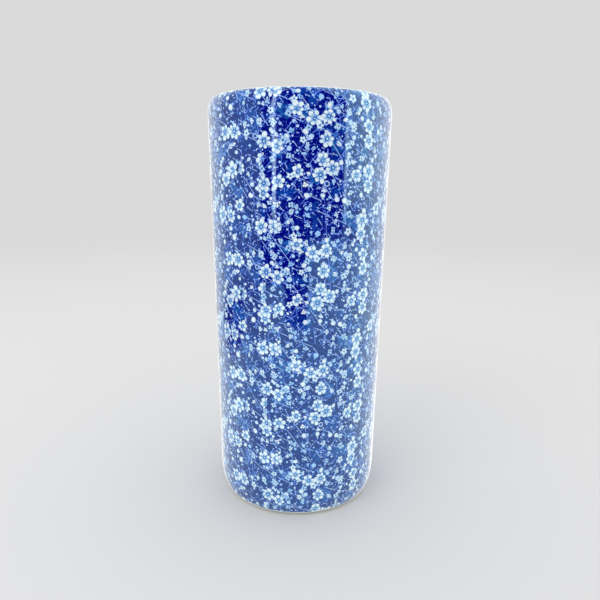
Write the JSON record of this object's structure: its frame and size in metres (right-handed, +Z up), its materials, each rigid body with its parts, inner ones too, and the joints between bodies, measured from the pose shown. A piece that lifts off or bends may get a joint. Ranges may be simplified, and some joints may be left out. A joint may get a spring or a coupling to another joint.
{
  "type": "cylinder vase",
  "caption": "Tall straight-sided pottery vase with a rounded lip and heel, an unglazed foot ring, and a dense blue and white blossom print under clear glaze.",
  "frame": {"origin": "on the table at the middle of the foot ring", "axes": "+Z up along the vase's axis; +X and +Y level, with the pictured side facing -Y"},
  "size_m": [0.1334, 0.1334, 0.3],
  "materials": {
    "bare_foot": "bare fired clay wiped free of glaze, matt, slightly rubbed where it stands",
    "printed_glaze": "glossy clear glaze over a cobalt print of white prunus blossom on cracked ice",
    "white_glaze": "white-glazed clay: glossy, with a faint grey-blue cast where the glaze pools"
  },
  "bodies": {
    "root": {"wall": "white_glaze", "floor_disc": "white_glaze", "foot_ring": "bare_foot", "printed_glaze": "printed_glaze"}
  },
  "joints": []
}
